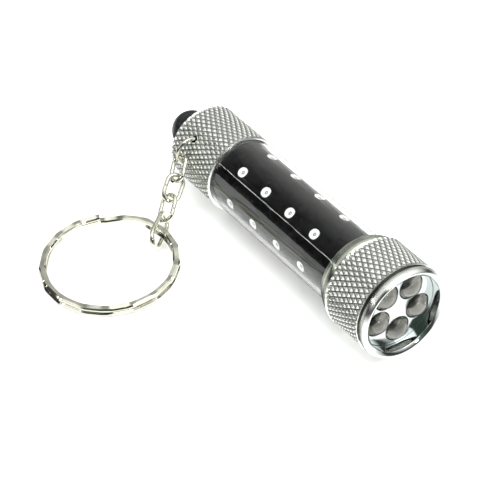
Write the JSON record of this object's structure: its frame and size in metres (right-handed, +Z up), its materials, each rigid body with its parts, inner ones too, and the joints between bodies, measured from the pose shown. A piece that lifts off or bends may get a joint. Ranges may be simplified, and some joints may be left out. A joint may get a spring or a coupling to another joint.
{
  "type": "keychain flashlight",
  "caption": "Small round flashlight with knurled metal ends, a clear-sleeved black barrel, a tail push button, and a short oval-link chain to a split ring.",
  "frame": {"origin": "middle of the whole object's footprint, on the surface that it lies on", "axes": "+X along the flashlight from tail to head (the axis itself rises 1.56 degrees towards the head), +Z up"},
  "size_m": [0.072, 0.0528, 0.0183],
  "materials": {
    "bright_aluminium": "bright, knurled and polished",
    "black_anodised": "gloss black anodised with bright cut dimples",
    "clear_acrylic": "clear and polished",
    "button_cell": null,
    "seal_rubber": "matt black",
    "black_plastic": "satin black",
    "white_plastic": "matt white",
    "spring_steel": "plain drawn wire",
    "silvered_plate": "silver plated",
    "lamp_epoxy": "water clear",
    "circuit_board": "green solder mask",
    "contact_brass": "turned brass",
    "nickel_plate": "nickel plated steel wire"
  },
  "bodies": {
    "barrel": {"battery_tube": "black_anodised", "clear_sleeve": "clear_acrylic", "cell_1": "button_cell", "cell_2": "button_cell", "cell_3": "button_cell", "cell_4": "button_cell", "tail_seal": "seal_rubber", "head_seal": "seal_rubber"},
    "tail_contact": {"battery_spring": "spring_steel"},
    "tail_cap": {"tail_cap": "bright_aluminium", "switch_housing": "black_plastic", "return_spring": "spring_steel"},
    "button": {"push_button": "black_plastic", "switch_plunger": "white_plastic"},
    "head_contact": {"lamp_contact": "contact_brass"},
    "head": {"head_shell": "bright_aluminium", "reflector_plate": "silvered_plate", "led_holder": "white_plastic", "led_1": "lamp_epoxy", "led_2": "lamp_epoxy", "led_3": "lamp_epoxy", "led_4": "lamp_epoxy", "led_5": "lamp_epoxy", "led_board": "circuit_board"},
    "jump_ring": {"jump_ring": "nickel_plate"},
    "link_1": {"link_1": "nickel_plate"},
    "link_2": {"link_2": "nickel_plate"},
    "link_3": {"link_3": "nickel_plate"},
    "connector_link": {"connector_link": "nickel_plate"},
    "split_ring": {"split_ring": "nickel_plate"}
  },
  "joints": [
    {"name": "cap_slide", "type": "slide", "parent": "barrel", "child": "tail_contact", "axis": [-0.9997, 0, -0.0241], "range_m": [0, 0.00401]},
    {"name": "cap_turn", "type": "hinge", "parent": "tail_contact", "child": "tail_cap", "pos_m": [-0.0277, 0.0173, 0.0078], "axis": [-0.9997, 0, -0.0241], "range_deg": [0, 1440]},
    {"name": "button_press", "type": "slide", "parent": "tail_cap", "child": "button", "axis": [0.9997, 0, 0.0241], "range_m": [0, 0.0012], "stiffness_N_per_m": 1500, "springref_m": -0.0008, "deforming": ["return_spring"]},
    {"name": "head_slide", "type": "slide", "parent": "barrel", "child": "head_contact", "axis": [0.9997, 0, 0.0241], "range_m": [0, 0.00401]},
    {"name": "head_turn", "type": "hinge", "parent": "head_contact", "child": "head", "pos_m": [0.03579, 0.0173, 0.00933], "axis": [0.9997, 0, 0.0241], "range_deg": [0, 1440]},
    {"name": "jump_ring_spin", "type": "hinge", "parent": "tail_cap", "child": "jump_ring", "pos_m": [-0.02268, 0.01065, 0.01117], "axis": [0.9997, 0, 0.0241], "range_deg": [-90, 0]},
    {"name": "link_1_swing", "type": "hinge", "parent": "jump_ring", "child": "link_1", "pos_m": [-0.02264, 0.00854, 0.00964], "axis": [0.0195, 0.5878, -0.8088], "range_deg": [-15, 30]},
    {"name": "link_2_swing", "type": "hinge", "parent": "link_1", "child": "link_2", "pos_m": [-0.02045, 0.00611, 0.00726], "axis": [0.8343, 0.2976, 0.464], "range_deg": [-45, 45]},
    {"name": "link_3_swing", "type": "hinge", "parent": "link_2", "child": "link_3", "pos_m": [-0.01866, 0.00346, 0.00486], "axis": [0.4188, 0.7491, -0.5134], "range_deg": [-45, 45]},
    {"name": "connector_swing", "type": "hinge", "parent": "link_3", "child": "connector_link", "pos_m": [-0.0167, 0.00094, 0.00245], "axis": [0.8677, 0.2961, 0.3993], "range_deg": [-45, 45]},
    {"name": "split_ring_swing", "type": "hinge", "parent": "connector_link", "child": "split_ring", "pos_m": [-0.0147, -0.00129, 0.00267], "axis": [-0.9845, -0.1747, 0.018], "range_deg": [-75, 75]}
  ],
  "couplings": [
    {"joint": "cap_slide", "follows": "cap_turn", "m_per_rad": 0.00015915},
    {"joint": "head_slide", "follows": "head_turn", "m_per_rad": 0.00015915}
  ]
}
